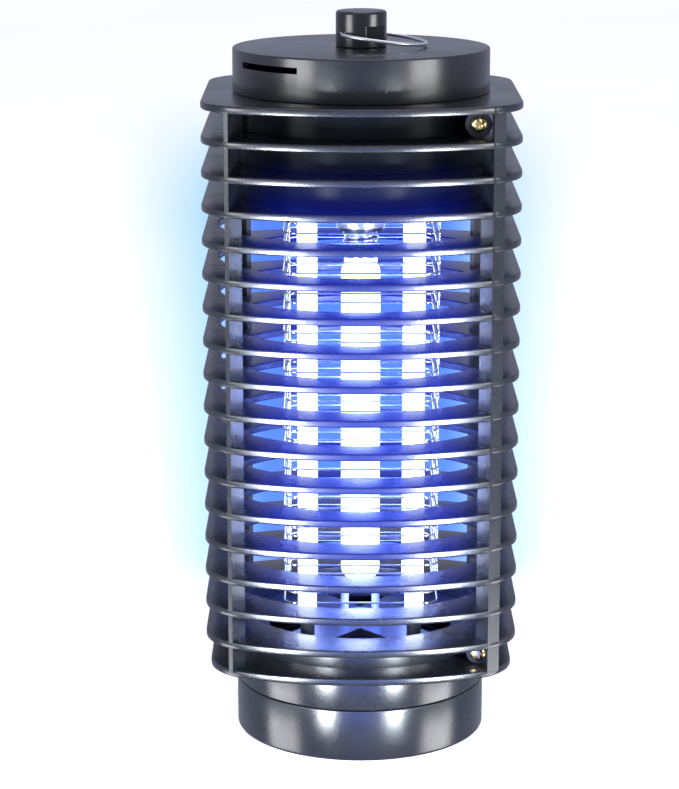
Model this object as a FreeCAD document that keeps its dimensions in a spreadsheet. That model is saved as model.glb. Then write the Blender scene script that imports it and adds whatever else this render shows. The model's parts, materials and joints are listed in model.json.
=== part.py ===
"""Electric bug zapper: finned two-part housing, ultraviolet lamp, high-voltage grid and collection tray.

Millimetres, +Z up, front towards -Y, origin at the centre of the tray's underside.
The housing halves are one moulding used twice, the second turned half a turn about Z.
"""
import FreeCAD, Part
import math
import os
import re

import Sketcher

V = FreeCAD.Vector
doc = FreeCAD.newDocument("BugZapper")
sheet = doc.addObject("Spreadsheet::Sheet", "Sizes")

DIMENSIONS = [
    # heights above the surface that the zapper stands on
    ("overall_height", 240.0),
    ("cap_top", 228.5),
    ("top_fin", 214.5),
    ("base_fin", 31.8),
    ("tray_seam", 17.5),
    ("board_level", 193.0),
    ("lamp_top", 157.0),
    ("lamp_bottom", 49.0),
    ("collar_level", 170.0),
    ("post_bottom", 43.0),
    # finned housing
    ("drum_radius", 41.5),
    ("wall", 2.0),
    ("fin_pitch", 10.8),
    ("fin_thickness", 2.4),
    ("fin_half_width", 50.6),
    ("fin_half_depth", 53.0),
    ("fin_front_radius", 104.0),
    ("fin_corner_radius", 12.0),
    ("fin_opening_x", 46.3),
    ("fin_opening_y", 41.8),
    ("base_fin_inset", 1.5),
    ("base_corner_radius", 16.0),
    ("ledge_width", 2.3),
    ("split_gap", 0.1),
    # clamping screws between the halves
    ("upper_screw_x", 36.3),
    ("lower_screw_x", 38.0),
    ("screw_seat_y", 36.0),
    ("boss_radius", 4.2),
    ("lower_boss_radius", 3.7),
    ("receiver_length", 20.0),
    ("screw_radius", 1.25),
    ("screw_hole_radius", 1.6),
    ("screw_head_radius", 2.4),
    ("screw_head_height", 2.0),
    ("screw_length", 50.0),
    ("head_recess_radius", 2.8),
    # cap and its screws
    ("cap_screw_x", 16.75),
    ("cap_screw_y", 29.0),
    ("cap_top_thickness", 2.4),
    ("cap_boss_radius", 3.2),
    ("cap_tab_half", 4.0),
    ("vent_level", 223.4),
    ("vent_height", 2.0),
    ("inlet_level", 220.6),
    ("bush_radius", 4.6),
    ("bush_flange_radius", 5.8),
    ("inlet_radius", 3.1),
    # hanger
    ("knob_radius", 8.2),
    ("bail_x", -5.9),
    ("bail_level", 232.8),
    ("bail_wire_radius", 0.6),
    ("bail_reach", 27.1),
    ("bail_pin_half", 6.5),
    ("bail_corner_radius", 6.0),
    ("bail_tilt", 7.0),
    ("running_clearance", 0.05),
    ("hanger_screw_radius", 1.5),
    # lamp and socket
    ("lamp_radius", 6.45),
    ("lamp_glass", 0.8),
    ("lamp_base_radius", 5.9),
    ("socket_radius", 7.4),
    ("socket_top", 200.0),
    ("socket_bore", 6.2),
    ("prong_radius", 1.35),
    ("prong_x", 5.2),
    # high-voltage grid
    ("post_x", 17.5),
    ("post_y", 22.4),
    ("post_width", 6.0),
    ("post_depth", 5.0),
    ("wire_radius", 0.35),
    ("wire_pitch", 6.46),
    ("wire_count", 20),
    ("wire_first_level", 49.0),
    ("live_half", 25.1),
    ("return_half", 24.1),
    ("wire_straight_half", 20.6),
    ("bus_radius", 0.5),
    # deck, board and tray
    ("deck_top", 36.0),
    ("deck_thickness", 2.0),
    ("deck_half_width", 33.9),
    ("deck_boss_radius", 2.4),
    ("hub_radius", 6.6),
    ("plate_radius", 39.2),
    ("plate_thickness", 2.0),
    ("board_radius", 31.0),
    ("board_thickness", 1.6),
    ("pillar_radius", 2.6),
    ("small_screw_radius", 1.1),
    ("small_head_radius", 2.2),
    ("small_head_height", 1.6),
    ("standoff_ring", 26.0),
    ("tray_wall", 2.0),
    ("tray_clearance", 0.4),
    ("tray_gap", 0.3),
    ("spigot_height", 6.0),
]
ALIASES = {alias for alias, _ in DIMENSIONS}
for row, (alias, amount) in enumerate(DIMENSIONS, start=1):
    sheet.set(f"A{row}", alias)
    sheet.set(f"B{row}", str(amount))
    sheet.setAlias(f"B{row}", alias)
doc.recompute()

parts = []


def size(alias):
    return float(sheet.get(alias))


def bound(text):
    """Turn a plain formula of aliases into an expression on the sheet."""
    def full_name(word):
        return "Sizes." + word.group() if word.group() in ALIASES else word.group()
    return re.sub(r"[A-Za-z_]+", full_name, text)


def amount_of(text):
    """Evaluate a formula of aliases to a number."""
    found = sheet.evalExpression(text)
    return float(getattr(found, "Value", found))


def bind(target, path, text):
    target.setExpression(path, bound(text))


def keep(item, label):
    """Register a finished sub-part under the name of its file."""
    item.Label = label
    parts.append(item)
    return item


# ---------------------------------------------------------------- sketch helpers

def new_body(label):
    body = doc.addObject("PartDesign::Body", label + "_body")
    body.AllowCompound = True
    return keep(body, label)


def new_sketch(body, role, offset="0"):
    """Sketch on one of the body's origin planes, moved along that plane's normal."""
    sketch = body.newObject("Sketcher::SketchObject", body.Label + "_sketch")
    plane = next(f for f in body.Origin.OriginFeatures if f.Role == role)
    sketch.AttachmentSupport = (plane, [""])
    sketch.MapMode = "FlatFace"
    bind(sketch, ".AttachmentOffset.Base.z", offset)
    return sketch


def pin(sketch, geometry, point, x, y):
    """Bind a sketch point's coordinates to two formulas."""
    for kind, axis, text in (("DistanceX", -2, x), ("DistanceY", -1, y)):
        if text == "0":
            sketch.addConstraint(Sketcher.Constraint("PointOnObject", geometry, point, axis))
            continue
        number = amount_of(text)
        index = sketch.addConstraint(Sketcher.Constraint(kind, -1, 1, geometry, point, number))
        bind(sketch, f"Constraints[{index}]", text)


def circle(sketch, radius, x="0", y="0"):
    centre = V(amount_of(x), amount_of(y), 0)
    index = sketch.addGeometry(Part.Circle(centre, V(0, 0, 1), amount_of(radius)), False)
    pin(sketch, index, 3, x, y)
    limit = sketch.addConstraint(Sketcher.Constraint("Radius", index, amount_of(radius)))
    bind(sketch, f"Constraints[{limit}]", radius)


def polygon(sketch, corners):
    """Closed outline whose corners are pairs of formulas."""
    places = [V(amount_of(x), amount_of(y), 0) for x, y in corners]
    count = len(places)
    first = sketch.GeometryCount
    for i in range(count):
        sketch.addGeometry(Part.LineSegment(places[i], places[(i + 1) % count]), False)
    for i in range(count):
        following = first + (i + 1) % count
        sketch.addConstraint(Sketcher.Constraint("Coincident", first + i, 2, following, 1))
    for i, (x, y) in enumerate(corners):
        pin(sketch, first + i, 1, x, y)


def rectangle(sketch, x_low, x_high, y_low, y_high):
    polygon(sketch, [(x_low, y_low), (x_high, y_low), (x_high, y_high), (x_low, y_high)])


def ellipse(sketch, radius_x, radius_y):
    across, along = amount_of(radius_x), amount_of(radius_y)
    index = sketch.addGeometry(Part.Ellipse(V(0, 0, 0), across, along), False)
    sketch.exposeInternalGeometry(index)
    sketch.addConstraint(Sketcher.Constraint("Coincident", index, 3, -1, 1))
    sketch.addConstraint(Sketcher.Constraint("Horizontal", index + 1))
    for line, text in ((index + 1, radius_x), (index + 2, radius_y)):
        limit = sketch.addConstraint(Sketcher.Constraint("Distance", line, 2 * amount_of(text)))
        bind(sketch, f"Constraints[{limit}]", f"2 * ({text})")


def fin_outline(sketch, half_width, half_depth, front_radius, corner_radius):
    """Rounded square: bowed front and back, straight sides, round corners, all tangent."""
    wide, deep = amount_of(half_width), amount_of(half_depth)
    bow, corner = amount_of(front_radius), amount_of(corner_radius)
    centre_x = wide - corner
    centre_y = math.sqrt((bow - corner) ** 2 - centre_x ** 2) - (bow - deep)
    lean = math.atan2(centre_y + bow - deep, centre_x)

    def arc(x, y, radius, start, end):
        round_part = Part.Circle(V(x, y, 0), V(0, 0, 1), radius)
        return Part.ArcOfCircle(round_part, start, end)

    half_turn = math.pi
    pieces = [
        arc(0, bow - deep, bow, half_turn + lean, 2 * half_turn - lean),
        arc(centre_x, -centre_y, corner, 2 * half_turn - lean, 2 * half_turn),
        Part.LineSegment(V(wide, -centre_y, 0), V(wide, centre_y, 0)),
        arc(centre_x, centre_y, corner, 0, lean),
        arc(0, deep - bow, bow, lean, half_turn - lean),
        arc(-centre_x, centre_y, corner, half_turn - lean, half_turn),
        Part.LineSegment(V(-wide, centre_y, 0), V(-wide, -centre_y, 0)),
        arc(-centre_x, -centre_y, corner, half_turn, half_turn + lean),
    ]
    first = sketch.GeometryCount
    for piece in pieces:
        sketch.addGeometry(piece, False)
    for i in range(len(pieces)):
        here, after = first + i, first + (i + 1) % len(pieces)
        sketch.addConstraint(Sketcher.Constraint("Tangent", here, 2, after, 1))
    for arc_index, sign in ((first, ""), (first + 4, "-")):
        limit = sketch.addConstraint(Sketcher.Constraint("Radius", arc_index, bow))
        bind(sketch, f"Constraints[{limit}]", front_radius)
        pin(sketch, arc_index, 3, "0", f"{sign}(({front_radius}) - ({half_depth}))")
    for arc_index in (first + 1, first + 3, first + 5, first + 7):
        limit = sketch.addConstraint(Sketcher.Constraint("Radius", arc_index, corner))
        bind(sketch, f"Constraints[{limit}]", corner_radius)
    for line, sign in ((first + 2, ""), (first + 6, "-")):
        sketch.addConstraint(Sketcher.Constraint("Vertical", line))
        limit = sketch.addConstraint(
            Sketcher.Constraint("DistanceX", -1, 1, line, 1, wide if sign == "" else -wide))
        bind(sketch, f"Constraints[{limit}]", f"{sign}({half_width})")


# ---------------------------------------------------------------- feature helpers

def pad(body, sketch, length, reverse=False):
    feature = body.newObject("PartDesign::Pad", body.Label + "_pad")
    feature.Profile = sketch
    bind(feature, "Length", length)
    feature.Reversed = reverse
    feature.Refine = False
    body.Tip = feature
    doc.recompute()
    return feature


def pocket(body, sketch, length, reverse=False):
    """Cut along the sketch's normal, and stop if nothing was removed."""
    before = body.Shape.Volume
    feature = body.newObject("PartDesign::Pocket", body.Label + "_pocket")
    feature.Profile = sketch
    bind(feature, "Length", length)
    feature.Reversed = reverse
    feature.Refine = False
    body.Tip = feature
    doc.recompute()
    if body.Shape.Volume >= before - 1e-6:
        raise RuntimeError(f"{body.Label}: {feature.Name} cut nothing")
    return feature


def repeat(body, feature, axis_role, count, length, reverse=False):
    """Linear pattern of a feature along an origin axis, over a total length."""
    pattern = body.newObject("PartDesign::LinearPattern", body.Label + "_pattern")
    pattern.Originals = [feature]
    axis = next(f for f in body.Origin.OriginFeatures if f.Role == axis_role)
    pattern.Direction = (axis, [""])
    pattern.Reversed = reverse
    pattern.Refine = False
    bind(pattern, "Length", length)
    bind(pattern, "Occurrences", count)
    body.Tip = pattern
    doc.recompute()
    return pattern


def revolve(label, profile):
    """Turned piece: the profile's corners are (radius, height) formulas."""
    body = new_body(label)
    sketch = new_sketch(body, "XZ_Plane")
    polygon(sketch, profile)
    feature = body.newObject("PartDesign::Revolution", label + "_revolution")
    feature.Profile = sketch
    feature.ReferenceAxis = (sketch, ["V_Axis"])
    feature.Angle = 360
    body.Tip = feature
    doc.recompute()
    return body


def cylinder(radius, height, x="0", y="0", z="0", direction=V(0, 0, 1)):
    item = doc.addObject("Part::Cylinder", "Cylinder")
    bind(item, "Radius", radius)
    bind(item, "Height", height)
    item.Placement.Rotation = FreeCAD.Rotation(V(0, 0, 1), direction)
    for letter, text in zip("xyz", (x, y, z)):
        bind(item, f".Placement.Base.{letter}", text)
    return item


def box(length, width, height, x, y, z):
    """Box centred on x and y, standing on z."""
    item = doc.addObject("Part::Box", "Box")
    for name, text in (("Length", length), ("Width", width), ("Height", height)):
        bind(item, name, text)
    bind(item, ".Placement.Base.x", f"({x}) - ({length}) / 2")
    bind(item, ".Placement.Base.y", f"({y}) - ({width}) / 2")
    bind(item, ".Placement.Base.z", z)
    return item


def fuse(items, name="Fuse"):
    joined = doc.addObject("Part::MultiFuse", name)
    joined.Shapes = items
    return joined


def group(items, name="Group"):
    """Separate solids kept together in one sub-part."""
    compound = doc.addObject("Part::Compound", name)
    compound.Links = items
    return compound


def cut(base, tool, name="Cut"):
    result = doc.addObject("Part::Cut", name)
    result.Base = base
    result.Tool = tool
    return result


TOWARDS_BACK = V(0, 1, 0)
TOWARDS_FRONT = V(0, -1, 0)
UP = V(0, 0, 1)
DOWN = V(0, 0, -1)


# ---------------------------------------------------------------- finned housing

CLOSED_FINS = 4
OPEN_FINS = 12
LAST_FIN = "top_fin - 16 * fin_pitch"
UPPER_SCREW_Z = "top_fin - (fin_pitch + fin_thickness) / 2"
LOWER_SCREW_Z = f"({LAST_FIN} - fin_thickness + base_fin) / 2"
HOUSING_FLOOR = f"top_fin - {CLOSED_FINS - 1} * fin_pitch - fin_thickness"


# plan outlines of the posts, and of the notches that the open fins clasp them with
WIDE_POST = [("40.7", "-44.6"), ("44.9", "-42.5"), ("44.2", "-41.0"), ("41.4", "-42.4"),
             ("38.6", "-36.8"), ("37.2", "-37.5")]
THIN_POST = [("-42.9", "-43.6"), ("-41.5", "-44.2"), ("-37.6", "-36.3"), ("-39.0", "-35.6")]
WIDE_NOTCH = [("41.575", "-46.375"), ("45.74", "-44.3")] + WIDE_POST[2:]
THIN_NOTCH = [("-43.875", "-45.6"), ("-42.475", "-46.175")] + THIN_POST[2:]


def add_ring(body, outer, inner, bottom, length):
    sketch = new_sketch(body, "XY_Plane", bottom)
    circle(sketch, outer)
    circle(sketch, inner)
    return pad(body, sketch, length)


def add_fin(body, level, hole, inset="0", corner="fin_corner_radius"):
    """One fin, with its top face at the given level, around a round or an oval opening."""
    sketch = new_sketch(body, "XY_Plane", f"{level} - fin_thickness")
    fin_outline(sketch, f"fin_half_width - {inset}", f"fin_half_depth - {inset}", "fin_front_radius", corner)
    if hole == "oval":
        ellipse(sketch, "fin_opening_x", "fin_opening_y")
    else:
        circle(sketch, "drum_radius - wall")
    return pad(body, sketch, "fin_thickness")


def add_posts(body):
    """Wide post with an inward rib on the right, thin blade post on the left."""
    for outline in (WIDE_POST, THIN_POST):
        sketch = new_sketch(body, "XY_Plane", "base_fin")
        polygon(sketch, outline)
        pad(body, sketch, "top_fin - base_fin")


def add_boss(body, x, z, radius, reach):
    """Round boss along Y, from the split plane out to the given reach."""
    sketch = new_sketch(body, "XZ_Plane", reach)
    circle(sketch, radius, x, z)
    pad(body, sketch, reach, reverse=True)


def bore(body, x, z, radius, start, length, outwards=False):
    """Round hole along Y from the plane y = -start, inwards or outwards."""
    sketch = new_sketch(body, "XZ_Plane", start)
    circle(sketch, radius, x, z)
    pocket(body, sketch, length, reverse=outwards)


def split_off_back(body):
    """Keep the front half only, up to the split plane."""
    split = new_sketch(body, "XZ_Plane", "split_gap")
    rectangle(split, "-80", "80", "0", "overall_height")
    pocket(body, split, "80")


def build_open_fins(label):
    """The open fins of one half: separate bars round the grid, notched over the posts."""
    body = new_body(label)
    opened = add_fin(body, f"top_fin - {CLOSED_FINS} * fin_pitch", "oval")
    repeat(body, opened, "Z_Axis", str(OPEN_FINS), f"{OPEN_FINS - 1} * fin_pitch", reverse=True)
    split_off_back(body)
    for outline in (WIDE_NOTCH, THIN_NOTCH):
        notches = new_sketch(body, "XY_Plane", "top_fin")
        polygon(notches, outline)
        pocket(body, notches, "top_fin - base_fin")
    return body


def build_shell(label):
    """Walls, closed fins, posts and screw bosses of one half."""
    body = new_body(label)
    closed_height = f"{CLOSED_FINS - 1} * fin_pitch + fin_thickness"
    add_ring(body, "drum_radius", "drum_radius - wall", HOUSING_FLOOR, closed_height)
    closed = add_fin(body, "top_fin", "round")
    repeat(body, closed, "Z_Axis", str(CLOSED_FINS), f"{CLOSED_FINS - 1} * fin_pitch", reverse=True)
    add_ring(body, "drum_radius - wall / 2", "drum_radius - wall - ledge_width", HOUSING_FLOOR,
             "fin_thickness")
    add_posts(body)
    add_fin(body, LAST_FIN, "round")
    add_fin(body, "base_fin", "round", "base_fin_inset", "base_corner_radius")
    add_ring(body, "drum_radius", "drum_radius - wall", "base_fin - fin_thickness",
             f"{LAST_FIN} - base_fin + fin_thickness")
    add_ring(body, "drum_radius - wall / 2", "drum_radius - wall - ledge_width", "base_fin",
             "deck_top - deck_thickness - base_fin")
    tabs = new_sketch(body, "XY_Plane", "top_fin - fin_thickness")
    for side in ("-", ""):
        rectangle(tabs, f"{side}cap_screw_x - cap_tab_half", f"{side}cap_screw_x + cap_tab_half",
                  "-38.5", "cap_tab_half - cap_screw_y")
    pad(body, tabs, "fin_thickness")
    for x, z, radius in (("upper_screw_x", UPPER_SCREW_Z, "boss_radius"),
                         ("lower_screw_x", LOWER_SCREW_Z, "lower_boss_radius")):
        add_boss(body, x, z, radius, "screw_seat_y")
        add_boss(body, f"-{x}", z, radius, "receiver_length")
    split_off_back(body)
    for x, z in (("upper_screw_x", UPPER_SCREW_Z), ("lower_screw_x", LOWER_SCREW_Z)):
        bore(body, x, z, "head_recess_radius", "screw_seat_y", "20", outwards=True)
        bore(body, x, z, "screw_hole_radius", "screw_seat_y", "screw_seat_y")
        bore(body, f"-{x}", z, "screw_radius + running_clearance", "0", "receiver_length - 4", outwards=True)
    holes = new_sketch(body, "XY_Plane", "top_fin")
    for side in ("-", ""):
        circle(holes, "screw_hole_radius", f"{side}cap_screw_x", "-cap_screw_y")
    pocket(body, holes, "fin_thickness")
    return body


def build_rear_copy(front, label):
    """The same moulding, turned half a turn about Z."""
    rear = group([front], "Rear")
    rear.Placement.Rotation = FreeCAD.Rotation(UP, 180)
    keep(rear, label)


build_rear_copy(build_shell("front_shell"), "rear_shell")
build_rear_copy(build_open_fins("front_open_fins"), "rear_open_fins")


def add_screw(head_radius, head_height, shank_radius, length, x, y, z, direction):
    """Pan-head screw: its head's underside is at (x, y, z) and its shank points along direction."""
    shank = cylinder(shank_radius, length, x, y, z, direction)
    head = cylinder(head_radius, head_height, x, y, z, -direction)
    return fuse([head, shank], "Screw")


def build_shell_screws():
    screws = []
    for x, z in (("upper_screw_x", UPPER_SCREW_Z), ("lower_screw_x", LOWER_SCREW_Z)):
        for sign, direction in (("-", TOWARDS_BACK), ("", TOWARDS_FRONT)):
            side = "" if sign == "-" else "-"
            screws.append(add_screw("screw_head_radius", "screw_head_height", "screw_radius",
                                    "screw_length", f"{side}{x}", f"{sign}screw_seat_y", z, direction))
    keep(group(screws), "shell_screws")


build_shell_screws()


# ---------------------------------------------------------------- cap and hanger

CAP_CORNERS = [(x, y) for x in ("-cap_screw_x", "cap_screw_x") for y in ("-cap_screw_y", "cap_screw_y")]
VENT_ANGLES = (29, 41, 53, 65)
VENT_PATH = (("(drum_radius - 4)", VENT_ANGLES), ("(drum_radius + 4)", VENT_ANGLES[::-1]))


def build_cap():
    body = revolve("top_cap", [
        ("2.2", "cap_top"), ("drum_radius", "cap_top"), ("drum_radius", "top_fin"),
        ("drum_radius - wall", "top_fin"), ("drum_radius - wall", "cap_top - cap_top_thickness"),
        ("2.2", "cap_top - cap_top_thickness")])
    bosses = new_sketch(body, "XY_Plane", "top_fin")
    for x, y in CAP_CORNERS:
        circle(bosses, "cap_boss_radius", x, y)
    pad(body, bosses, "cap_top - cap_top_thickness / 2 - top_fin")
    threads = new_sketch(body, "XY_Plane", "top_fin")
    for x, y in CAP_CORNERS:
        circle(threads, "screw_radius + running_clearance", x, y)
    pocket(body, threads, "9", reverse=True)
    inlet = new_sketch(body, "XZ_Plane", "0")
    circle(inlet, "bush_radius", "0", "inlet_level")
    pocket(body, inlet, "drum_radius + 1")
    for side in (-1, 1):
        vent = new_sketch(body, "XY_Plane", "vent_level")
        outline = [(reach, angle) for reach, angles in VENT_PATH for angle in angles]
        polygon(vent, [(f"{side} * {reach} * sin({angle})", f"{side} * {reach} * cos({angle})")
                       for reach, angle in outline])
        pocket(body, vent, "vent_height", reverse=True)


build_cap()


def build_cap_screws():
    screws = [add_screw("screw_head_radius", "screw_head_height - 0.2", "screw_radius", "10",
                        x, y, "top_fin - fin_thickness", UP) for x, y in CAP_CORNERS]
    keep(group(screws), "cap_screws")


def build_knob():
    """Round knob on the cap, with a chord bore for the bail, a pocket and a blind screw hole."""
    height = "overall_height - cap_top"
    body = cylinder("knob_radius", height, z="cap_top")
    bail_bore = cylinder("bail_wire_radius + running_clearance", "4 * knob_radius", "bail_x",
                         "-2 * knob_radius", "bail_level", TOWARDS_BACK)
    recess = box("8", "6", "4.4", "1.2 + 4", "-3.6 - 3", "bail_level - 1.8")
    screw_hole = cylinder("hanger_screw_radius + running_clearance", "8", z="cap_top")
    keep(cut(body, fuse([bail_bore, recess, screw_hole])), "hanger_knob")
    keep(add_screw("3.2", "2.2", "hanger_screw_radius", "cap_top_thickness + 7", "0", "0",
                   "cap_top - cap_top_thickness", UP), "hanger_screw")


def build_bail():
    """Flat-sided wire loop; its straight side turns in the knob and its far end rests above the cap."""
    start, reach = size("bail_x"), size("bail_reach")
    half, corner = size("bail_pin_half"), size("bail_corner_radius")
    run = reach - corner
    big = (run ** 2 + half ** 2 - corner ** 2) / (2 * (run - corner))
    centre = reach - big
    lean = math.atan2(half, corner - centre)
    touch_x = centre + big * math.cos(lean)
    touch_y = big * math.sin(lean)
    middle = (math.pi + lean) / 2
    bend_x = corner + corner * math.cos(middle)
    bend_y = half + corner * math.sin(middle)
    near = V(touch_x, -touch_y, 0)
    far = V(touch_x, touch_y, 0)
    edges = [
        Part.LineSegment(V(0, half, 0), V(0, -half, 0)).toShape(),
        Part.Arc(V(0, -half, 0), V(bend_x, -bend_y, 0), near).toShape(),
        Part.Arc(near, V(reach, 0, 0), far).toShape(),
        Part.Arc(far, V(bend_x, bend_y, 0), V(0, half, 0)).toShape(),
    ]
    path = Part.Wire(edges)
    section = Part.Wire(Part.Circle(V(0, half, 0), V(0, 1, 0), size("bail_wire_radius")).toShape())
    bail = doc.addObject("Part::Feature", "Bail")
    bail.Shape = path.makePipeShell([section], True, False)
    bail.Placement = FreeCAD.Placement(V(start, 0, size("bail_level")),
                                       FreeCAD.Rotation(V(0, 1, 0), size("bail_tilt")))
    keep(bail, "hanger_bail")


def build_inlet_bush():
    """Rubber bush around the cord inlet in the back of the cap."""
    collar = cylinder("bush_radius", "wall + 2.6", z="inlet_level", y="drum_radius - wall - 1.4",
                      direction=TOWARDS_BACK)
    flange = cylinder("bush_flange_radius", "1.6", z="inlet_level", y="drum_radius + 0.2",
                      direction=TOWARDS_BACK)
    hole = cylinder("inlet_radius", "20", z="inlet_level", y="drum_radius - 10", direction=TOWARDS_BACK)
    keep(cut(fuse([collar, flange]), hole), "inlet_bush")


build_cap_screws()
build_knob()
build_bail()
build_inlet_bush()


# ---------------------------------------------------------------- chassis, board and electrics

SCREW_RING = [(f"standoff_ring * cos({angle})", f"standoff_ring * sin({angle})") for angle in (90, 210, 330)]
POSTS = {
    "front_left": ("-post_x", "-post_y"), "front_right": ("post_x", "-post_y"),
    "back_left": ("-post_x", "post_y"), "back_right": ("post_x", "post_y"),
}
BUSES = {
    "live": ("(live_half + wire_radius + bus_radius - 0.25)", "-4"),
    "return": ("(-return_half + wire_radius + bus_radius - 0.25)", "4"),
}
PLATE_BOTTOM = f"({HOUSING_FLOOR} + fin_thickness)"
BUS_TOP = f"({PLATE_BOTTOM} - 2)"
BOARD_TOP = "(board_level + board_thickness)"


def build_chassis():
    plate = cylinder("plate_radius", "plate_thickness", z=PLATE_BOTTOM)
    holes = [cylinder("socket_radius + 0.1", "20", z=f"{PLATE_BOTTOM} - 10")]
    holes += [cylinder("1.2", "20", x, y, f"{PLATE_BOTTOM} - 10") for x, y in POSTS.values()]
    holes += [cylinder("1.2", "20", x, y, f"{PLATE_BOTTOM} - 10") for x, y in BUSES.values()]
    keep(cut(plate, fuse(holes)), "chassis_plate")


def build_board():
    board = cylinder("board_radius", "board_thickness", z="board_level")
    holes = [cylinder("socket_radius + 0.6", "20", z="board_level - 10")]
    holes += [cylinder("1.25", "20", x, y, "board_level - 10") for x, y in SCREW_RING]
    keep(cut(board, fuse(holes)), "circuit_board")
    top = f"{PLATE_BOTTOM} + plate_thickness"
    pillars = [cylinder("pillar_radius", f"board_level - ({top})", x, y, top) for x, y in SCREW_RING]
    bores = [cylinder("small_screw_radius + running_clearance", "20", x, y, "board_level - 6")
             for x, y in SCREW_RING]
    keep(cut(group(pillars), fuse(bores)), "board_standoffs")
    screws = [add_screw("small_head_radius", "small_head_height", "small_screw_radius", "7",
                        x, y, BOARD_TOP, DOWN) for x, y in SCREW_RING]
    keep(group(screws), "board_screws")


def build_electrics():
    capacitors = [cylinder("4", "12", x, y, BOARD_TOP)
                  for x, y in (("-20", "8"), ("-20", "-2"), ("-12.5", "14"))]
    keep(group(capacitors), "boost_capacitors")
    window = box("9", "10", "7", "17.5", "12.5", f"{BOARD_TOP} + 2.5")
    keep(cut(box("15", "8", "12", "17.5", "12.5", BOARD_TOP), window), "choke_core")
    coil = cylinder("2.9", "8.6", "17.5 - 4.3", "12.5", f"{BOARD_TOP} + 6", V(1, 0, 0))
    keep(coil, "choke_coil")
    diodes = [cylinder("1.4", "6", x, "-18", f"{BOARD_TOP} + 1.5", TOWARDS_FRONT)
              for x in ("-4.5", "0", "4.5", "9")]
    keep(group(diodes), "rectifier_diodes")
    resistors = [cylinder("1.2", "7", "12", y, f"{BOARD_TOP} + 1.3", V(1, 0, 0)) for y in ("-14", "-18")]
    keep(group(resistors), "bleed_resistors")
    keep(box("10", "7", "8", "-13", "-21.5", BOARD_TOP), "terminal_block")
    keep(cylinder("2", "9", "20.5", "-4", f"{BOARD_TOP} + 2.1", TOWARDS_BACK), "glass_fuse")


build_chassis()
build_board()
build_electrics()


# ---------------------------------------------------------------- lamp

def build_lamp():
    """Straight ultraviolet tube hanging by its threaded base from the socket."""
    neck = "(lamp_radius - 1)"
    revolve("lamp_tube", [
        ("0", "lamp_bottom"), ("lamp_radius - 3", "lamp_bottom + 0.4"),
        ("lamp_radius - 1", "lamp_bottom + 1.6"),
        ("lamp_radius", "lamp_bottom + 4"), ("lamp_radius", "lamp_top - 3"), (neck, "lamp_top"),
        (neck, "lamp_top + 6"), (f"{neck} - lamp_glass", "lamp_top + 6"),
        (f"{neck} - lamp_glass", "lamp_top"), ("lamp_radius - lamp_glass", "lamp_top - 3.4"),
        ("lamp_radius - lamp_glass", "lamp_bottom + 4.4"), ("lamp_radius - 2", "lamp_bottom + 2"),
        ("0", "lamp_bottom + 1.2")])
    revolve("lamp_base", [
        (f"{neck} + 0.02", "lamp_top + 3"), ("lamp_base_radius", "lamp_top + 3"),
        ("lamp_base_radius", "socket_top - 18"), ("lamp_base_radius - 3", "socket_top - 16.5"),
        ("0", "socket_top - 16.5"), ("0", "lamp_top + 6.2"), (f"{neck} + 0.02", "lamp_top + 6.2")])
    revolve("lamp_contact", [
        ("0", "socket_top - 16.5"), ("2", "socket_top - 16.5"), ("1.4", "socket_top - 15.3"),
        ("0", "socket_top - 15.3")])
    revolve("lamp_socket", [
        ("socket_bore", "collar_level - 1.1"), ("socket_radius", "collar_level - 1.1"),
        ("socket_radius", "collar_level"), ("socket_radius - 0.7", "collar_level"),
        ("socket_radius - 0.7", "collar_level + 2.1"), ("socket_radius", "collar_level + 2.1"),
        ("socket_radius", "socket_top"), ("0", "socket_top"), ("0", "socket_top - 14.3"),
        ("socket_bore", "socket_top - 14.3")])
    revolve("socket_collar", [
        ("socket_radius - 0.65", "collar_level + 0.1"), ("socket_radius + 0.6", "collar_level + 0.1"),
        ("socket_radius + 0.6", "collar_level + 2"), ("socket_radius - 0.65", "collar_level + 2")])
    keep(cylinder("1.8", "1", z="socket_top - 15.3"), "socket_contact")
    electrodes = []
    for level in ("lamp_bottom + 12", "lamp_top - 14"):
        electrodes.append(cylinder("1.6", "3", z=level))
    keep(group(electrodes), "lamp_electrodes")
    prongs = [cylinder("prong_radius", "lamp_bottom - deck_top - 0.2", x, "0", "deck_top")
              for x in ("-prong_x", "prong_x")]
    saddle = cylinder("hub_radius", "1.2", z="deck_top")
    keep(fuse(prongs + [saddle]), "lamp_rest")


build_lamp()


# ---------------------------------------------------------------- high-voltage grid

def build_posts():
    """Notched insulating posts, each with a pin into the chassis plate."""
    height = f"{PLATE_BOTTOM} - post_bottom"
    for name, (x, y) in POSTS.items():
        body = new_body("grid_post_" + name)
        outline = new_sketch(body, "XY_Plane", "post_bottom")
        rectangle(outline, f"{x} - post_width / 2", f"{x} + post_width / 2",
                  f"{y} - post_depth / 2", f"{y} + post_depth / 2")
        pad(body, outline, height)
        spigot = new_sketch(body, "XY_Plane", PLATE_BOTTOM)
        circle(spigot, "small_screw_radius + running_clearance", x, y)
        pad(body, spigot, "plate_thickness - 0.1")
        thread = new_sketch(body, "XY_Plane", "post_bottom")
        circle(thread, "small_screw_radius + running_clearance", x, y)
        pocket(body, thread, "7", reverse=True)
        side = "-" if name.startswith("front") else ""
        outer, inner = f"{side}(post_y + post_depth / 2 + 1)", f"{side}(return_half - 0.6)"
        notch = new_sketch(body, "YZ_Plane", f"{x} - post_width")
        low = "wire_first_level - wire_radius - 0.1"
        high = "wire_first_level + wire_radius + 0.1"
        rectangle(notch, outer, inner, low, high)
        slot = pocket(body, notch, "2 * post_width", reverse=True)
        repeat(body, slot, "Z_Axis", "2 * wire_count", "wire_pitch * (wire_count - 0.5)")


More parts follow.
